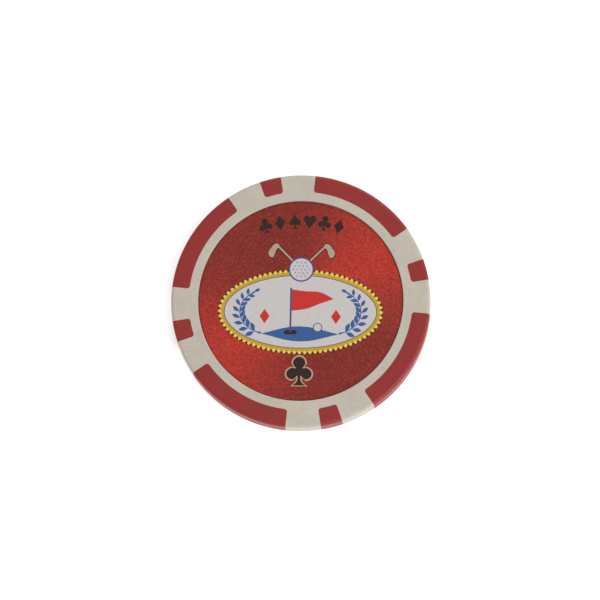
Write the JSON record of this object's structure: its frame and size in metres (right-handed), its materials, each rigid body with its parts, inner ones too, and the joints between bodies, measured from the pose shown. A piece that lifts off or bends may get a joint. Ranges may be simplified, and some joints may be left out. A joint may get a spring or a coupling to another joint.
{
  "type": "ball marker",
  "caption": "Flat round golf ball marker in the form of a weighted two-colour chip, with edge spots and a sunken printed foil label on each face.",
  "frame": {"origin": "centre of the back face, where the marker lies on the ground", "axes": "+Z out of the front label, +Y towards the top of the front label's artwork, +X to its right"},
  "size_m": [0.04, 0.04, 0.0033],
  "materials": {
    "slug_steel": "satin",
    "spot_red_plastic": "satin",
    "rim_cream_plastic": "satin",
    "label_adhesive": "satin",
    "label_foil": "gloss",
    "clear_film": "gloss"
  },
  "bodies": {
    "root": {"steel_slug": "slug_steel", "core_moulding": "spot_red_plastic", "rim_moulding": "rim_cream_plastic", "front_adhesive": "label_adhesive", "front_foil": "label_foil", "front_laminate": "clear_film", "back_adhesive": "label_adhesive", "back_foil": "label_foil", "back_laminate": "clear_film"}
  },
  "joints": []
}
